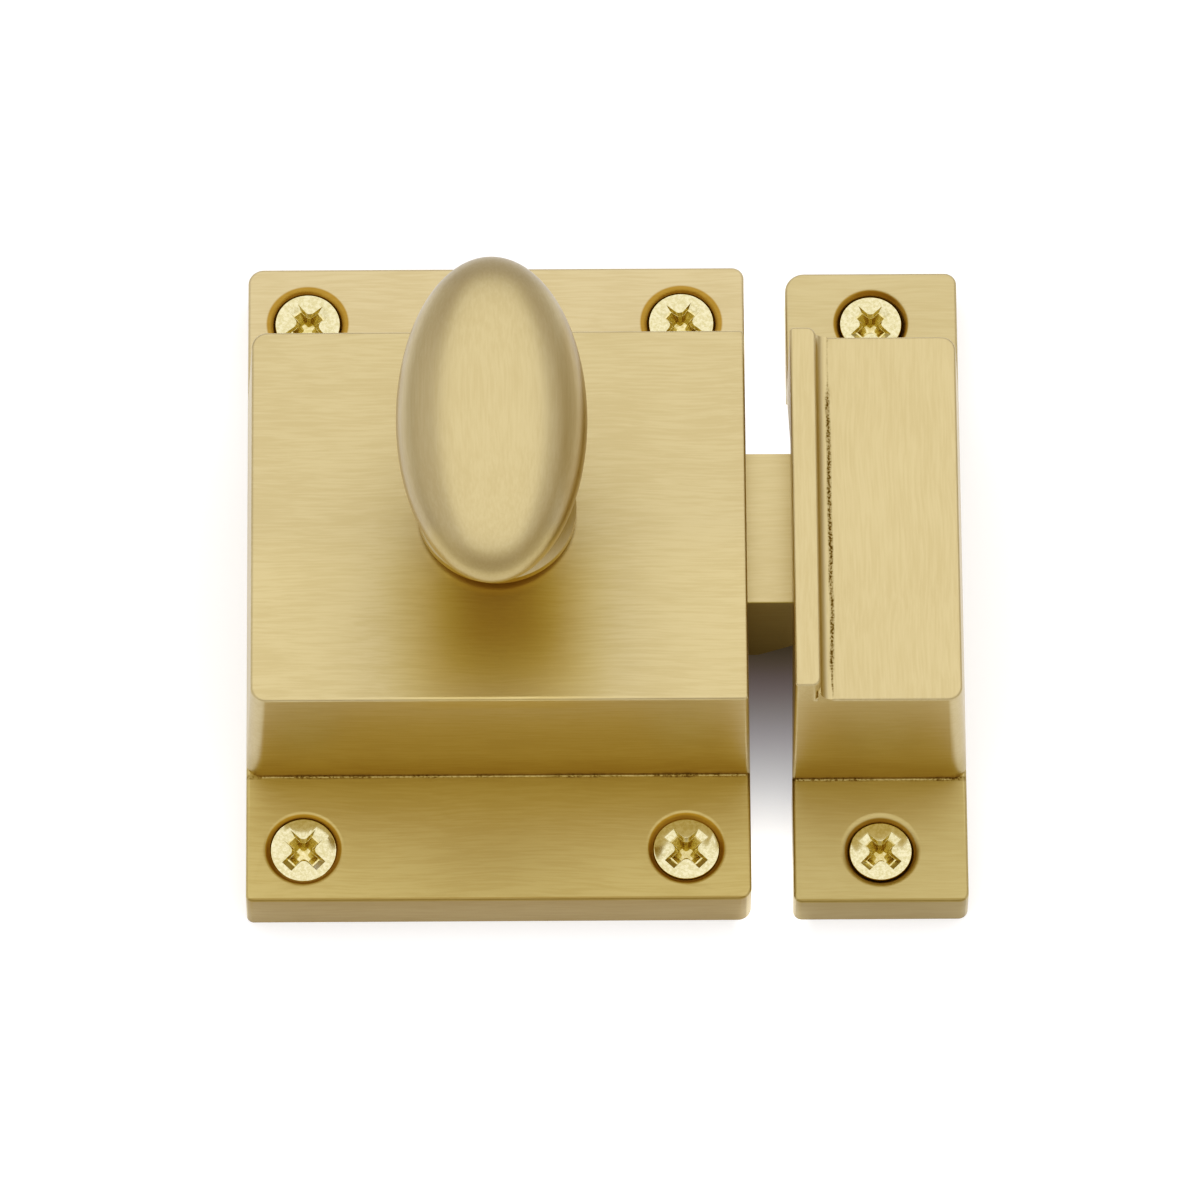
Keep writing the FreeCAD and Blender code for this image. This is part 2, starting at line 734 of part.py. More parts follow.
def keeper_hollow():
    """The pocket behind the lip, and the mouth that the bolt slides into as the door closes."""
    cavity_end = keeper_face_y - keeper_end_wall
    x0, x1 = keeper_x + keeper_bolt_wall, keeper_end_x - keeper_side_draft - keeper_far_wall
    pocket = slab(x0, x1, -cavity_end, cavity_end, -overshoot, keeper_roof_under, [keeper_cavity_round] * 4)
    foot, shoulder = mouth_foot_width / 2, mouth_flange_width / 2
    top = (bolt_width + mouth_top_margin) / 2
    start = keeper_x - overshoot
    mouth = outline(
        vec(start, -foot, -overshoot),
        vec(start, -foot, 0),
        vec(start, -shoulder, keeper_flange),
        vec(start, -top, keeper_roof_under),
        vec(start, top, keeper_roof_under),
        vec(start, shoulder, keeper_flange),
        vec(start, foot, 0),
        vec(start, foot, -overshoot),
    )
    depth = overshoot + keeper_bolt_wall + keeper_cavity_round
    return pocket.fuse(Part.Face(mouth).extrude(vec(depth, 0, 0)))


def keeper():
    return cut_screw_holes(keeper_form().cut(keeper_hollow()), keeper_screw_places(), keeper_flange)


def write(name, *solids):
    shape = solids[0] if len(solids) == 1 else Part.makeCompound(list(solids))
    shape.exportStep(os.path.join("parts", name + ".step"))


def main():
    os.makedirs("parts", exist_ok=True)
    write("latch_case", latch_case())
    write("back_plate", back_plate())
    write("plate_screws", *[plate_screw(x, y) for x, y in plate_screw_places()])
    write("case_screws", *[wood_screw(x, y, case_flange) for x, y in case_screw_places()])
    write("knob", knob())
    write("spindle", spindle())
    write("spindle_clip", spindle_clip())
    write("thrust_washer", thrust_washer())
    write("cam_lever", cam_lever())
    write("cam_pin", cam_pin())
    write("latch_bolt", latch_bolt())
    write("bolt_spring", bolt_spring())
    write("keeper", keeper())
    write("keeper_screws", *[wood_screw(x, y, keeper_flange) for x, y in keeper_screw_places()])


main()
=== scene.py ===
import bmesh
import bpy
import math
from mathutils import Matrix, Vector


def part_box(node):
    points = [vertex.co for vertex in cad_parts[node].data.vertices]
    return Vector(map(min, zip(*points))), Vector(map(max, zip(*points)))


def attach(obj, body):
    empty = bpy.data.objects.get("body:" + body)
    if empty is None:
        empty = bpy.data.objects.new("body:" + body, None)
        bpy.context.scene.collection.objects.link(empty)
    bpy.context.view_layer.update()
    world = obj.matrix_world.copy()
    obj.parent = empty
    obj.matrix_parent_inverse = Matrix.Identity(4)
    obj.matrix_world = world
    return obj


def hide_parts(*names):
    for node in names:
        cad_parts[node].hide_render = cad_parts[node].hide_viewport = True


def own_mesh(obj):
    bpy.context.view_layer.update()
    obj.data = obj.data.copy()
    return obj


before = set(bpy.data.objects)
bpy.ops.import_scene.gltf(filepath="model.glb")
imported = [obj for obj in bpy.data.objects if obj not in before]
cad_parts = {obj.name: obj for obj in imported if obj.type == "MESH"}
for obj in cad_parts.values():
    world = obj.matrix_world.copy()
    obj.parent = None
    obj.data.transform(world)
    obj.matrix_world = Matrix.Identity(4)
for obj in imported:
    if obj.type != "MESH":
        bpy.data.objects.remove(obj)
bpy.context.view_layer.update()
mm = 0.001


# The view: a long lens looks steeply down on the latch, which lies on a pale
# sheet. The darkest tones of the picture are printed a little warmer.

look_at = Vector((8.428, -3.341, 8.0)) * mm
camera_distance = 1080.13 * mm
camera_azimuth = math.radians(0.846)
camera_elevation = math.radians(65.255)
camera_roll = math.radians(0.467)

forward = Vector((
    math.sin(camera_azimuth) * math.cos(camera_elevation),
    math.cos(camera_azimuth) * math.cos(camera_elevation),
    -math.sin(camera_elevation),
))
level_right = Vector((math.cos(camera_azimuth), -math.sin(camera_azimuth), 0))
level_up = level_right.cross(forward)
right = math.cos(camera_roll) * level_right + math.sin(camera_roll) * level_up
up = -math.sin(camera_roll) * level_right + math.cos(camera_roll) * level_up

camera_data = bpy.data.cameras.new("long_lens")
camera_data.sensor_width = 36
camera_data.lens = 394.4
camera_data.clip_start = 0.1
camera_data.clip_end = 100
camera = bpy.data.objects.new("long_lens", camera_data)
camera.matrix_world = (
    Matrix.Translation(look_at - forward * camera_distance)
    @ Matrix((right, up, -forward)).transposed().to_4x4()
)
bpy.context.scene.collection.objects.link(camera)
bpy.context.scene.camera = camera
bpy.context.scene.view_settings.view_transform = "Standard"
bpy.context.scene.view_settings.use_curve_mapping = True
tone_curves = bpy.context.scene.view_settings.curve_mapping
deep_greens = ((0.10, 0.078), (0.20, 0.182), (0.30, 0.285), (0.45, 0.445))
deep_blues = ((0.05, 0.022), (0.10, 0.072), (0.18, 0.158), (0.27, 0.262))
for channel, points in ((1, deep_greens), (2, deep_blues)):
    for point in points:
        tone_curves.curves[channel].points.new(*point)
tone_curves.update()


# The light: one long white panel hangs overhead and reaches far back behind the
# latch. The room round it is dimmer, with something dark standing on the right.

def node(tree, kind, **settings):
    made = tree.nodes.new(kind)
    for setting, value in settings.items():
        setattr(made, setting, value)
    return made


def ranged(tree, value, from_low, from_high, to_low, to_high):
    span = node(tree, "ShaderNodeMapRange", interpolation_type="SMOOTHSTEP")
    span.inputs["From Min"].default_value = from_low
    span.inputs["From Max"].default_value = from_high
    span.inputs["To Min"].default_value = to_low
    span.inputs["To Max"].default_value = to_high
    tree.links.new(value, span.inputs["Value"])
    return span.outputs["Result"]


def maths(tree, operation, a, b):
    step = node(tree, "ShaderNodeMath", operation=operation)
    for socket, value in zip(step.inputs, (a, b)):
        if isinstance(value, (int, float)):
            socket.default_value = value
        else:
            tree.links.new(value, socket)
    return step.outputs["Value"]


def product(tree, first, *others):
    for other in others:
        first = maths(tree, "MULTIPLY", first, other)
    return first


def mixed(tree, amount, colour_a, colour_b):
    blend = node(tree, "ShaderNodeMix", data_type="RGBA")
    tree.links.new(amount, blend.inputs["Factor"])
    for socket, colour in ((blend.inputs[6], colour_a), (blend.inputs[7], colour_b)):
        if isinstance(colour, tuple):
            socket.default_value = (*colour, 1)
        else:
            tree.links.new(colour, socket)
    return blend.outputs[2]


panel_middle = 0.06
panel_side_fade = (1.144, 1.7875)
panel_far_fade = (2.31, 4.62)
panel_near_fade = (-2.21, -1.19)
horizon_fade = (0.0, 0.06)
panel_light = (1.45, 1.43, 1.38)
room_light = (0.90, 0.88, 0.90)
dark_shape_light = (0.52, 0.47, 0.38)
dark_shape_side = (0.6, 0.85)
dark_shape_top = (0.12, 0.3)
dim_end_light = (0.58, 0.56, 0.58)
dim_end_fade = (0.5, 0.9)

room = bpy.data.worlds.new("studio")
room.use_nodes = True
sky = room.node_tree
direction = node(sky, "ShaderNodeSeparateXYZ")
sky.links.new(node(sky, "ShaderNodeTexCoord").outputs["Generated"], direction.inputs["Vector"])
toward_x, toward_y, toward_z = (direction.outputs[axis] for axis in "XYZ")
climb = maths(sky, "MAXIMUM", toward_z, 0.02)
across = maths(sky, "SUBTRACT", maths(sky, "DIVIDE", toward_x, climb), panel_middle)
across = maths(sky, "ABSOLUTE", across, 0)
back = maths(sky, "DIVIDE", toward_y, climb)
panel = product(
    sky,
    ranged(sky, across, *panel_side_fade, 1.0, 0.0),
    ranged(sky, back, *panel_far_fade, 1.0, 0.0),
    ranged(sky, back, *panel_near_fade, 0.0, 1.0),
    ranged(sky, toward_z, *horizon_fade, 0.0, 1.0),
)
dark_shape = product(
    sky,
    ranged(sky, toward_x, *dark_shape_side, 0.0, 1.0),
    ranged(sky, toward_z, *dark_shape_top, 1.0, 0.0),
)
surroundings = mixed(sky, dark_shape, room_light, dark_shape_light)
dim_ends = ranged(sky, maths(sky, "ABSOLUTE", toward_y, 0), *dim_end_fade, 0.0, 1.0)
surroundings = mixed(sky, dim_ends, surroundings, dim_end_light)
sky.links.new(mixed(sky, panel, surroundings, panel_light), sky.nodes["Background"].inputs["Color"])
bpy.context.scene.world = room


# The sheet that the latch lies on: white and matt, with a painted glow in place of light
# from below. A painted shadow darkens the gap beside the bolt, a painted glow lights the rest
# of the gap, and further out the sheet is painted dimmer.

sheet_size = 5.0
sheet_drop = 0.02 * mm
sheet_white = (0.70, 0.705, 0.73)
sheet_glow = 0.35
lit_reach = 76 * mm
unlit_share = 0.6
gap_x = 22.4 * mm
gap_side_fade = (1.8 * mm, 3.5 * mm)
gap_end_fade = (27 * mm, 31 * mm)
gap_light = 0.62
shadow_start_y = -23.8 * mm
shadow_deep_y = 1.9 * mm
shadow_deepest = 0.12
shadow_curve = 2.2
far_shadow_fade = (3.75 * mm, 12.5 * mm)


def as_object(name, bm):
    mesh = bpy.data.meshes.new(name)
    bm.to_mesh(mesh)
    bm.free()
    made = bpy.data.objects.new(name, mesh)
    bpy.context.scene.collection.objects.link(made)
    return made


sheet_shape = bmesh.new()
bmesh.ops.create_grid(
    sheet_shape, x_segments=1, y_segments=1, size=sheet_size, matrix=Matrix.Translation((0, 0, -sheet_drop)),
)
white_sheet = as_object("white_sheet", sheet_shape)

paper = bpy.data.materials.new("white_sheet_painted_glow_and_shadow")
paper.use_nodes = True
paper_tree = paper.node_tree
paper_shader = paper_tree.nodes["Principled BSDF"]
paper_shader.inputs["Roughness"].default_value = 0.8
paper_shader.inputs["Specular IOR Level"].default_value = 0.0
paper_shader.inputs["Emission Color"].default_value = (1.0, 0.99, 0.99, 1)
paper_place = node(paper_tree, "ShaderNodeTexCoord").outputs["Object"]
paper_split = node(paper_tree, "ShaderNodeSeparateXYZ")
paper_tree.links.new(paper_place, paper_split.inputs["Vector"])
paper_x, paper_y = paper_split.outputs["X"], paper_split.outputs["Y"]
from_middle = node(paper_tree, "ShaderNodeVectorMath", operation="DISTANCE")
from_middle.inputs[1].default_value = (look_at.x, look_at.y, 0)
paper_tree.links.new(paper_place, from_middle.inputs[0])
# Painted fall-off: the sheet's colour and glow are painted dimmer further from the latch.
painted_brightness = ranged(paper_tree, from_middle.outputs["Value"], lit_reach, 1.8 * lit_reach, 1.0, unlit_share)

beside_gap = maths(paper_tree, "ABSOLUTE", maths(paper_tree, "SUBTRACT", paper_x, gap_x), 0)
along_gap = maths(paper_tree, "ABSOLUTE", paper_y, 0)
in_gap = product(
    paper_tree,
    ranged(paper_tree, beside_gap, *gap_side_fade, 1.0, 0.0),
    ranged(paper_tree, along_gap, *gap_end_fade, 1.0, 0.0),
)
# The painted shadow in the gap: darkest beside the bolt, fading out towards the near end and, sooner, behind
# the bolt.
near_light = maths(paper_tree, "SUBTRACT", shadow_deep_y, paper_y)
near_light = maths(paper_tree, "DIVIDE", near_light, shadow_deep_y - shadow_start_y)
near_light = maths(paper_tree, "MAXIMUM", near_light, shadow_deepest)
near_light = maths(paper_tree, "POWER", near_light, shadow_curve)
near_light = maths(paper_tree, "MINIMUM", near_light, 1.0)
far_light = ranged(paper_tree, paper_y, *far_shadow_fade, 0.0, 1.0)
unshaded = maths(paper_tree, "MAXIMUM", near_light, far_light)
# A painted glow lights the rest of the gap; the painted shadow takes colour and glow away beside the bolt.
painted_gap_glow = product(paper_tree, in_gap, unshaded, gap_light)
painted_gap_shadow = product(paper_tree, in_gap, maths(paper_tree, "SUBTRACT", 1, unshaded))
painted_brightness = product(paper_tree, painted_brightness, maths(paper_tree, "SUBTRACT", 1, painted_gap_shadow))
paper_tree.links.new(
    mixed(paper_tree, painted_brightness, (0.0, 0.0, 0.0), sheet_white), paper_shader.inputs["Base Color"],
)
glow = maths(paper_tree, "ADD", product(paper_tree, painted_brightness, sheet_glow), painted_gap_glow)
paper_tree.links.new(glow, paper_shader.inputs["Emission Strength"])
white_sheet.data.materials.append(paper)


# The case: one brass casting, ground flat and brushed from side to side with a
# fine belt, then left without lacquer. The grain stops short in the inside
# corners, where the rough skin of the casting still shows.

def object_place(tree):
    return node(tree, "ShaderNodeTexCoord").outputs["Object"]


def streaks(tree, scale, detail, seed, place=None):
    """Noise drawn out along the grain: scale gives the lines per metre along x, y and z."""
    stretch = node(tree, "ShaderNodeMapping")
    stretch.inputs["Location"].default_value = (seed, seed * 1.7, seed * 0.6)
    stretch.inputs["Scale"].default_value = scale
    noise = node(tree, "ShaderNodeTexNoise")
    noise.inputs["Scale"].default_value = 1.0
    noise.inputs["Detail"].default_value = detail
    noise.inputs["Roughness"].default_value = 0.6
    tree.links.new(object_place(tree) if place is None else place, stretch.inputs["Vector"])
    tree.links.new(stretch.outputs["Vector"], noise.inputs["Vector"])
    return noise.outputs["Fac"]


def wandering(tree, lines_per_metre, reach):
    """The place on the piece, pushed about by up to half the reach."""
    noise = node(tree, "ShaderNodeTexNoise")
    noise.inputs["Scale"].default_value = lines_per_metre
    noise.inputs["Detail"].default_value = 2
    tree.links.new(object_place(tree), noise.inputs["Vector"])
    shift = node(tree, "ShaderNodeVectorMath", operation="MULTIPLY_ADD")
    shift.inputs[1].default_value = (reach, reach, reach)
    tree.links.new(noise.outputs["Color"], shift.inputs[0])
    tree.links.new(object_place(tree), shift.inputs[2])
    centred = node(tree, "ShaderNodeVectorMath", operation="SUBTRACT")
    centred.inputs[1].default_value = (reach / 2, reach / 2, reach / 2)
    tree.links.new(shift.outputs["Vector"], centred.inputs[0])
    return centred.outputs["Vector"]


def near_line(tree, line, reach, place=None, fade=0.35):
    """One on a line or a point and nothing at its reach. None stands for an axis that doesn't count."""
    flatten = node(tree, "ShaderNodeVectorMath", operation="MULTIPLY")
    flatten.inputs[1].default_value = [0 if c is None else 1 for c in line]
    distance = node(tree, "ShaderNodeVectorMath", operation="DISTANCE")
    distance.inputs[1].default_value = [0 if c is None else c for c in line]
    tree.links.new(object_place(tree) if place is None else place, flatten.inputs[0])
    tree.links.new(flatten.outputs["Vector"], distance.inputs[0])
    return ranged(tree, distance.outputs["Value"], fade * reach, reach, 1.0, 0.0)


def stroke_tone(tree, grain):
    """The belt's marks along one axis: fine wavering lines, some broad ones, and a faint cloud."""
    place = wandering(tree, *mark_wander)
    fine_scale = tuple(fine_along if axis == grain else fine_across for axis in "xyz")
    broad_scale = tuple(broad_along if axis == grain else broad_across for axis in "xyz")
    fine = product(tree, streaks(tree, fine_scale, 4, 3.1, place), 0.6)
    broad = product(tree, streaks(tree, broad_scale, 3, 8.4, place), 0.2)
    cloud = product(tree, streaks(tree, (140, 140, 140), 2, 1.3), 0.2)
    return maths(tree, "ADD", maths(tree, "ADD", fine, broad), cloud)


def tinted(tree, colour, amount, tint):
    blend = node(tree, "ShaderNodeMix", data_type="RGBA", blend_type="MULTIPLY")
    tree.links.new(amount, blend.inputs[0])
    tree.links.new(colour, blend.inputs[6])
    blend.inputs[7].default_value = (*tint, 1)
    return blend.outputs[2]


brass_bright = (0.520, 0.432, 0.236)
brass_dull = (0.485, 0.396, 0.208)
casting_skin = (0.11, 0.075, 0.02)
skin_end_fade = 2 * mm
skin_roughness = 0.2
skin_height = 8.0
countersink_painted_shade = (0.67, 0.50, 0.22)
fine_along, fine_across = 240, 5200
broad_along, broad_across = 120, 1144
mark_wander = (70, 1.4 * mm)
skin_wander = (330, 0.3 * mm)
mark_spread = 0.14
mark_strength = 0.08
mark_depth = 0.02 * mm
x_lay = (1.0, 0.12, 0.1)
y_lay = (0.1, 1.0, 0.08)
turn_start = 0.6 * mm
turn_end = 0.3 * mm
merge_distance = 0.0005 * mm


def bare_metal(name):
    finish = bpy.data.materials.new(name)
    finish.use_nodes = True
    shader = finish.node_tree.nodes["Principled BSDF"]
    shader.inputs["Metallic"].default_value = 1.0
    return finish, finish.node_tree, shader


def brushed_brass(
    name, grain, roughness, shade=1.0, contrast=1.0, face_level=None, corners=(), painted_tints=(), holes=(),
):
    """Brass brushed along the grain axis. Above face_level the grain runs along y instead.

    The contrast is that of the belt's marks. A corner is a line, its reach, and the ends along y of
    its rough skin. A painted tint is painted light or shade: a colour, then the low end, high end and
    soft edge of its stretch of x, y and z. A hole is x, y and the radius of the painted shade put
    over its countersink.
    """
    finish, tree, shader = bare_metal(name)
    shader.inputs["Anisotropic"].default_value = 0.3
    tone = stroke_tone(tree, grain)
    lay = node(tree, "ShaderNodeCombineXYZ")
    for socket, value in zip(lay.inputs, x_lay if grain == "x" else y_lay):
        socket.default_value = value
    lay = lay.outputs["Vector"]
    split = node(tree, "ShaderNodeSeparateXYZ")
    tree.links.new(object_place(tree), split.inputs["Vector"])
    if face_level is not None:
        on_face = ranged(tree, split.outputs["Z"], face_level - turn_start, face_level - turn_end, 0.0, 1.0)
        blend = node(tree, "ShaderNodeMix", data_type="FLOAT")
        tree.links.new(on_face, blend.inputs[0])
        tree.links.new(tone, blend.inputs[2])
        tree.links.new(stroke_tone(tree, "y"), blend.inputs[3])
        tone = blend.outputs[0]
        turn = node(tree, "ShaderNodeMix", data_type="VECTOR")
        tree.links.new(on_face, turn.inputs[0])
        turn.inputs[4].default_value = x_lay
        turn.inputs[5].default_value = y_lay
        lay = turn.outputs[1]
    bright, dull = (tuple(c * shade for c in colour) for colour in (brass_bright, brass_dull))
    spread = mark_spread / contrast
    colour = mixed(tree, ranged(tree, tone, 0.5 - spread, 0.5 + spread, 0.0, 1.0), dull, bright)
    # Each painted tint puts painted light or shade into the colour.
    for tint, *spans in painted_tints:
        edges = []
        for axis, (low, high, soft) in zip("XYZ", spans):
            edges.append(ranged(tree, split.outputs[axis], low - soft, low, 0.0, 1.0))
            edges.append(ranged(tree, split.outputs[axis], high, high + soft, 1.0, 0.0))
        colour = tinted(tree, colour, product(tree, *edges), tint)
    # Painted shade over each countersink, darker and more golden.
    for x, y, radius in holes:
        colour = tinted(tree, colour, near_line(tree, (x, y, None), radius, fade=0.95), countersink_painted_shade)
    rough = ranged(tree, tone, 0.3, 0.7, roughness + 0.02, roughness - 0.02)
    height = tone
    if corners:
        grit = streaks(tree, (5200, 5200, 5200), 3, 5.5)
        patches = streaks(tree, (260, 260, 260), 2, 2.2)
        place = wandering(tree, *skin_wander)
        for line, reach, low_y, high_y in corners:
            skin = product(
                tree,
                near_line(tree, line, reach, place),
                ranged(tree, patches, 0.35, 0.55, 0.45, 1.0),
                ranged(tree, grit, 0.38, 0.58, 1.0, 0.3),
                ranged(tree, split.outputs["Y"], low_y, low_y + skin_end_fade, 0.0, 1.0),
                ranged(tree, split.outputs["Y"], high_y - skin_end_fade, high_y, 1.0, 0.0),
            )
            colour = mixed(tree, skin, colour, casting_skin)
            rough = maths(tree, "ADD", rough, product(tree, skin, skin_roughness))
            height = maths(tree, "ADD", height, product(tree, grit, skin, skin_height))
    tree.links.new(colour, shader.inputs["Base Color"])
    tree.links.new(rough, shader.inputs["Roughness"])
    bump = node(tree, "ShaderNodeBump")
    bump.inputs["Strength"].default_value = mark_strength
    bump.inputs["Distance"].default_value = mark_depth
    tree.links.new(height, bump.inputs["Height"])
    tree.links.new(bump.outputs["Normal"], shader.inputs["Normal"])
    tree.links.new(lay, shader.inputs["Tangent"])
    return finish


def smooth_copy(name, crease):
    """A copy of a CAD node with its doubled points merged, so that its rounds shade as rounds."""
    bm = bmesh.new()
    bm.from_mesh(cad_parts[name].data)
    bmesh.ops.remove_doubles(bm, verts=bm.verts, dist=merge_distance)
    for face in bm.faces:
        face.smooth = True
    for edge in bm.edges:
        edge.smooth = edge.calc_face_angle(0.0) < math.radians(crease)
    piece = as_object(name + "_finished", bm)
    piece.data.attributes.remove(piece.data.attributes["custom_normal"])
    flats_first = piece.modifiers.new("flats_stay_flat", "WEIGHTED_NORMAL")
    flats_first.mode = "FACE_AREA"
    flats_first.weight = 100
    flats_first.keep_sharp = True
    return piece


def finished_copy(name, body, finish, crease=32):
    piece = smooth_copy(name, crease)
    piece.data.materials.append(finish)
    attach(piece, body)
    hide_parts(name)
    return piece


flange_top = 4.45 * mm
face_z = 17.6 * mm
box_foot_y = 17.5 * mm
end_y = 28.575 * mm
everywhere = (-end_y * 2, end_y * 2, mm)
screw_x, screw_y = 15.6 * mm, 23.85 * mm
case_screw_places = (
    (-screw_x - 0.35 * mm, -screw_y - 0.1 * mm),
    (-screw_x - 0.1 * mm, screw_y - 0.1 * mm),
    (screw_x - 0.25 * mm, -screw_y - 0.15 * mm),
    (screw_x - 0.2 * mm, screw_y - 0.15 * mm),
)
flange_fade = 14 * mm
on_flange = (0, flange_top, 0.15 * mm)
on_front_edge = (-end_y, 0.2 * mm - end_y, 0.1 * mm)
on_wall_foot = (flange_top + 0.1 * mm, flange_top + mm, 3 * mm)
on_case_face = (face_z - mm, face_z, mm)
# Painted light and shade on the case, in order: a lighter, warmer near flange; a lighter, bluer far flange;
# painted shade on the near end edge and at the foot of the near wall; painted light on the near part of the
# face; and the knob's painted reflection and painted shadow on the face in front of it.
case_painted_light = [
    ((1.03, 1.02, 0.95), everywhere, (-end_y, -box_foot_y, flange_fade), on_flange),
    ((1.03, 1.03, 1.08), everywhere, (box_foot_y, end_y, flange_fade), on_flange),
    ((0.67, 0.63, 0.55), everywhere, on_front_edge, on_flange),
    ((0.86, 0.83, 0.70), everywhere, (-end_y, -17 * mm, 0.8 * mm), on_wall_foot),
    ((1.05, 1.05, 1.03), everywhere, (-end_y, -6 * mm, 6 * mm), (face_z - 0.2 * mm, face_z, 0.1 * mm)),
    ((1.05, 0.99, 0.70), (-3 * mm, 3 * mm, 8 * mm), (-13 * mm, -7.5 * mm, 7 * mm), on_case_face),
    ((0.81, 0.75, 0.60), (-mm, 2 * mm, 6 * mm), (-9.5 * mm, -7.5 * mm, 6 * mm), on_case_face),
]
case_brass = brushed_brass(
    "case_brushed_brass", "x", 0.38, contrast=1.5,
    corners=[
        ((None, -box_foot_y, flange_top), 0.3 * mm, -end_y, end_y),
        ((None, box_foot_y, flange_top), 0.2 * mm, -end_y, end_y),
    ],
    painted_tints=case_painted_light,
    holes=[(x, y, (3.2 if y < 0 else 3.5) * mm) for x, y in case_screw_places],
)
finished_copy("latch_case", "case", case_brass)


# The knob: cast in one piece with its neck and foot, and brushed lengthwise.
# Painted shade darkens its neck, the lower sides of its head, most on the right, and its far end;
# painted light brightens its near end.

knob_side = (face_z + 4 * mm, 37 * mm, 1.5 * mm)
knob_edge = (face_z + 4 * mm, 38.5 * mm, 1.5 * mm)
knob_brass = brushed_brass(
    "knob_brushed_brass", "y", 0.33,
    # Painted shade on the neck, the sides and the far end; painted light on the near end.
    painted_tints=[
        ((0.82, 0.81, 0.82), everywhere, everywhere, knob_side),
        ((0.86, 0.81, 0.71), (5.8 * mm, end_y, mm), everywhere, knob_edge),
        ((1.14, 1.12, 0.98), everywhere, (-end_y, -11.5 * mm, 2 * mm), knob_side),
        ((0.88, 0.88, 0.90), everywhere, (11.5 * mm, end_y, 2 * mm), knob_edge),
    ],
)
finished_copy("knob", "knob", knob_brass, crease=40)


# The bolt: a brass bar with a curved bevel, ground along the way it slides, with
# a wide slide that stays inside the case. Its near side is darkened with painted shade.

bolt_brass = brushed_brass(
    "bolt_ground_brass", "x", 0.36, shade=1.06,
    # Painted shade on the near side.
    painted_tints=[((0.49, 0.48, 0.32), everywhere, (-end_y, -6.65 * mm, 0.05 * mm), everywhere)],
)
finished_copy("latch_bolt", "bolt", bolt_brass)


# The keeper: a smaller casting of the same brass. Its face is brushed along its
# length and its flanges across. The belt can't reach into the corner behind its
# lip, which stays rough.

lip_root_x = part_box("keeper")[0].x + 3.1 * mm
keeper_flange_top = 3.7 * mm
keeper_face_z = 16.7 * mm
keeper_box_foot_y = 17.65 * mm
keeper_screw_x, keeper_screw_y = 31.25 * mm, 24.0 * mm
keeper_screw_places = (
    (keeper_screw_x, -keeper_screw_y),
    (keeper_screw_x - 0.05 * mm, keeper_screw_y - 0.1 * mm),
)
on_keeper_flange = (0, keeper_flange_top, 0.15 * mm)
on_keeper_wall_foot = (keeper_flange_top + 0.1 * mm, keeper_flange_top + 1.1 * mm, 3 * mm)
# Painted shade on the keeper: its flanges, most on the near end edge, and the foot of its near wall.
keeper_painted_light = [
    ((0.93, 0.93, 0.92), everywhere, everywhere, on_keeper_flange),
    ((0.69, 0.66, 0.56), everywhere, on_front_edge, on_keeper_flange),
    ((0.86, 0.84, 0.72), everywhere, (-end_y, -16.8 * mm, 0.8 * mm), on_keeper_wall_foot),
]
# Its brass is painted 4% lighter than the case's, as painted light.
keeper_brass = brushed_brass(
    "keeper_brushed_brass", "x", 0.38, shade=1.04, face_level=keeper_face_z,
    corners=[
        ((lip_root_x, None, keeper_face_z), 0.27 * mm, -14.5 * mm, 12.5 * mm),
        ((lip_root_x, None, keeper_face_z), 0.12 * mm, -17 * mm, 17 * mm),
        ((None, -keeper_box_foot_y, keeper_flange_top), 0.3 * mm, -end_y, end_y),
        ((None, keeper_box_foot_y, keeper_flange_top), 0.2 * mm, -end_y, end_y),
    ],
    painted_tints=keeper_painted_light,
    holes=[(x, y, (3.0 if y < 0 else 3.2) * mm) for x, y in keeper_screw_places],
)
finished_copy("keeper", "case", keeper_brass)


# The six wood screws: steel with a rolled thread and a punched cross recess,
# plated a bright pale yellow. Each is driven to its own turn and lean.

head_radius = 2.7 * mm
head_edge = 0.12 * mm
neck_radius = 1.45 * mm
cone_height = 1.438 * mm
shank_length = 15.9 * mm
point_length = 2.8 * mm
thread_crest = 1.35 * mm
thread_root = 1.0 * mm
thread_pitch = 1.15 * mm
thread_turns = 8
steps_per_turn = 24
recess_inner_round = 0.5 * mm
punch_rise = 0.3 * mm


def screw_blank():
    """The turned blank: a flat countersunk head, a tapered neck, a thinner core and a point."""
    bm = bmesh.new()
    core_start, run_out, tip = -4.4 * mm, 0.4 * mm, 0.1 * mm
    profile = [
        (0.0, 0.0), (head_radius - head_edge, 0.0), (head_radius - 0.3 * head_edge, -0.3 * head_edge),
        (head_radius, -head_edge), (neck_radius, -head_edge - cone_height), (thread_crest, core_start),
        (thread_root, core_start - run_out), (thread_root, point_length - shank_length),
        (tip, tip - shank_length), (0.0, -shank_length),
    ]
    verts = [bm.verts.new((r, 0, z)) for r, z in profile]
    edges = [bm.edges.new(pair) for pair in zip(verts, verts[1:])]
    bmesh.ops.spin(
        bm, geom=verts + edges, cent=(0, 0, 0), axis=(0, 0, 1), angle=math.tau, steps=64, use_merge=True,
    )
    bmesh.ops.remove_doubles(bm, verts=bm.verts, dist=merge_distance)
    bmesh.ops.recalc_face_normals(bm, faces=bm.faces)
    return bm


def screw_thread():
    """One triangular thread wound up the core."""
    bm = bmesh.new()
    foot, sink, start = 0.32 * mm, 0.05 * mm, point_length - shank_length
    ridge = [(thread_root - sink, -foot), (thread_crest, 0.0), (thread_root - sink, foot)]
    verts = [bm.verts.new((r, 0, start + z)) for r, z in ridge]
    section = bm.faces.new(verts)
    bmesh.ops.spin(
        bm, geom=[section], cent=(0, 0, 0), axis=(0, 0, 1), dvec=(0, 0, thread_pitch / steps_per_turn),
        angle=math.tau * thread_turns, steps=steps_per_turn * thread_turns,
    )
    bmesh.ops.recalc_face_normals(bm, faces=bm.faces)
    return bm


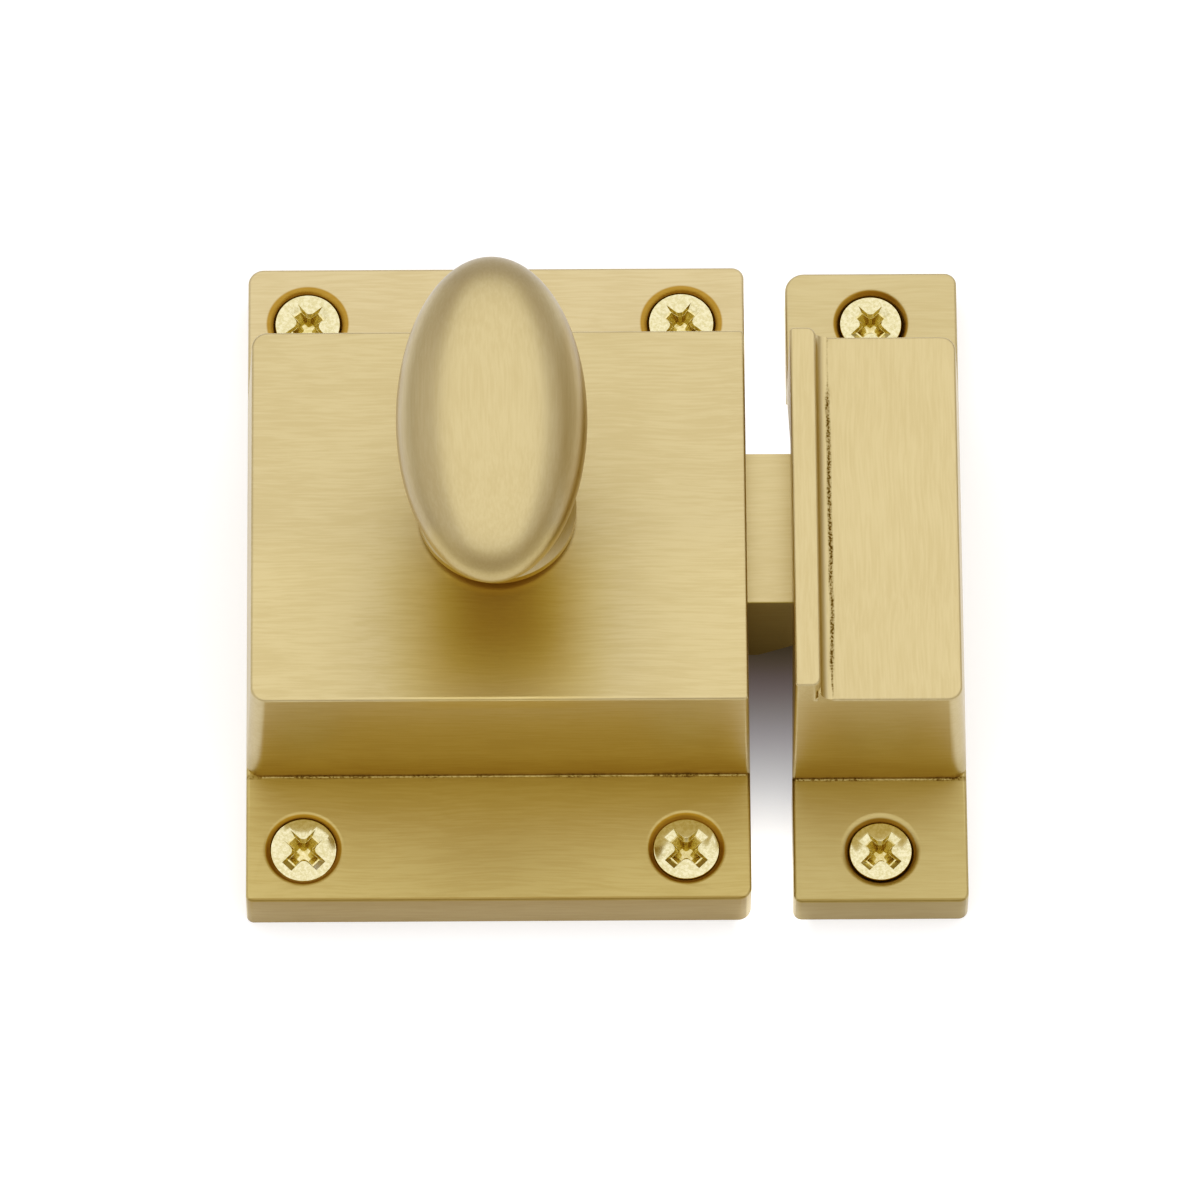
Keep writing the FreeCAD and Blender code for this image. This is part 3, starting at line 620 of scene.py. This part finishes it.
def cross_punch(span, arm, depth, floor_share):
    """A punch with four tapered arms and rounded inner corners. The span is that at the head's face."""
    bm = bmesh.new()
    height = depth + punch_rise
    bmesh.ops.create_cube(bm, size=1, matrix=Matrix.Diagonal((arm, arm, height, 1)))
    for side in [f for f in bm.faces if abs(f.normal.z) < 0.5]:
        outward = side.normal.copy()
        end = bmesh.ops.extrude_discrete_faces(bm, faces=[side])["faces"][0]
        bmesh.ops.translate(bm, verts=end.verts, vec=outward * (span - arm) / 2)
    bmesh.ops.remove_doubles(bm, verts=bm.verts, dist=merge_distance)
    inner = [
        e for e in bm.edges
        if abs(e.verts[0].co.z - e.verts[1].co.z) > height / 2 and e.verts[0].co.xy.length < arm
    ]
    bmesh.ops.bevel(
        bm, geom=inner, offset=recess_inner_round, segments=5, profile=0.5, affect="EDGES", material=-1,
    )
    floor = [v for v in bm.verts if v.co.z < 0]
    lid = [v for v in bm.verts if v.co.z > 0]
    lid_share = 1 + (1 - floor_share) * punch_rise / depth
    bmesh.ops.scale(bm, verts=floor, vec=(floor_share, floor_share, 1))
    bmesh.ops.scale(bm, verts=lid, vec=(lid_share, lid_share, 1))
    bmesh.ops.translate(bm, verts=bm.verts, vec=(0, 0, punch_rise - height / 2))
    bmesh.ops.rotate(bm, verts=bm.verts, cent=(0, 0, 0), matrix=Matrix.Rotation(math.radians(45), 3, "Z"))
    bmesh.ops.recalc_face_normals(bm, faces=bm.faces)
    return bm


blank = as_object("screw_blank", screw_blank())
punches = [
    as_object("arm_punch", cross_punch(span=3.95 * mm, arm=1.05 * mm, depth=0.32 * mm, floor_share=0.74)),
    as_object("driver_punch", cross_punch(span=3.1 * mm, arm=0.86 * mm, depth=1.3 * mm, floor_share=0.42)),
]
for punch in punches:
    punched = blank.modifiers.new(punch.name, "BOOLEAN")
    punched.operation = "DIFFERENCE"
    punched.solver = "EXACT"
    punched.use_self = True
    punched.object = punch
punched_mesh = bpy.data.meshes.new_from_object(blank.evaluated_get(bpy.context.evaluated_depsgraph_get()))
thread_mesh = bpy.data.meshes.new("screw_thread")
thread = screw_thread()
thread.to_mesh(thread_mesh)
thread.free()
for tool in (blank, *punches):
    bpy.data.objects.remove(tool)


blotches_per_metre = 3600


def plating(name, light, dark, roughness):
    finish, tree, shader = bare_metal(name)
    blotches = streaks(tree, (blotches_per_metre, blotches_per_metre, blotches_per_metre), 3, 4.2)
    colour = mixed(tree, ranged(tree, blotches, 0.35, 0.65, 0.0, 1.0), dark, light)
    tree.links.new(colour, shader.inputs["Base Color"])
    rough = ranged(tree, blotches, 0.3, 0.7, roughness + 0.04, roughness - 0.04)
    tree.links.new(rough, shader.inputs["Roughness"])
    return finish


plated = plating("bright_yellow_plating", (0.66, 0.61, 0.40), (0.55, 0.49, 0.27), 0.14)
recess_plated = plating("recess_plating", (0.72, 0.64, 0.37), (0.60, 0.51, 0.22), 0.27)
recess_reach = 1.62 * mm
recess_lip = 0.01 * mm
screw_crease = 28


def driven_screws(name, places, size=1.0):
    """The screws of one group. A place is x, y, the head's height, its turn, and its lean about x and y."""
    bm = bmesh.new()
    for x, y, z, turn, lean_x, lean_y in places:
        seat = (
            Matrix.Translation((x, y, z))
            @ Matrix.Rotation(math.radians(lean_x), 4, "X") @ Matrix.Rotation(math.radians(lean_y), 4, "Y")
            @ Matrix.Rotation(math.radians(turn), 4, "Z") @ Matrix.Diagonal((size, size, 1, 1))
        )
        for mesh in (punched_mesh, thread_mesh):
            verts_before, faces_before = len(bm.verts), len(bm.faces)
            bm.from_mesh(mesh)
            bm.verts.ensure_lookup_table()
            bm.faces.ensure_lookup_table()
            if mesh is punched_mesh:
                for face in bm.faces[faces_before:]:
                    middle = face.calc_center_median()
                    if face.normal.z > 0.05 and middle.z < -recess_lip and middle.xy.length < recess_reach:
                        face.material_index = 1
            bmesh.ops.transform(bm, matrix=seat, verts=bm.verts[verts_before:])
    for face in bm.faces:
        face.smooth = True
    for edge in bm.edges:
        edge.smooth = edge.calc_face_angle(0.0) < math.radians(screw_crease)
    screws = as_object(name + "_driven", bm)
    screws.data.materials.append(plated)
    screws.data.materials.append(recess_plated)
    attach(screws, "case")
    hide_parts(name)


head_sink = 0.27 * mm
far_head_sink = 0.1 * mm
near_left, far_left, near_right, far_right = case_screw_places
driven_screws("case_screws", [
    (*near_left, flange_top - head_sink, 1, 4.5, 0),
    (*far_left, flange_top - far_head_sink, -7, 1, 0),
    (*near_right, flange_top - head_sink, 0, -1, 0),
    (*far_right, flange_top - far_head_sink, 6, 1, 0),
])
keeper_near, keeper_far = keeper_screw_places
driven_screws("keeper_screws", [
    (*keeper_near, keeper_flange_top - head_sink, 2, -1, 0),
    (*keeper_far, keeper_flange_top - far_head_sink, 0, -3, 0),
], size=0.95)


# The works and the back plate: zinc-plated steel with the faint lines that the
# rolling mill left. They are inside the case or behind it, mostly out of sight.

steel_dark = (0.42, 0.42, 0.42)
steel_light = (0.56, 0.56, 0.57)
rolling_lines = (300, 2600, 2600)
steel_nodes = (
    "back_plate", "plate_screws", "spindle", "spindle_clip", "thrust_washer", "cam_lever", "cam_pin",
)
steel, steel_tree, steel_shader = bare_metal("zinc_plated_steel")
rolled = streaks(steel_tree, rolling_lines, 3, 6.1)
steel_colour = mixed(steel_tree, ranged(steel_tree, rolled, 0.35, 0.65, 0.0, 1.0), steel_dark, steel_light)
steel_tree.links.new(steel_colour, steel_shader.inputs["Base Color"])
steel_tree.links.new(ranged(steel_tree, rolled, 0.3, 0.7, 0.42, 0.3), steel_shader.inputs["Roughness"])
for name in steel_nodes:
    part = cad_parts[name]
    part.data.materials.clear()
    part.data.materials.append(steel)


# The bolt's spring: drawn steel wire, coiled between the slide's tail and the
# case's wall. It is fixed to the case and has a mesh of its own.

bolt_spring = finished_copy("bolt_spring", "case", steel, crease=50)
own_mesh(bolt_spring)
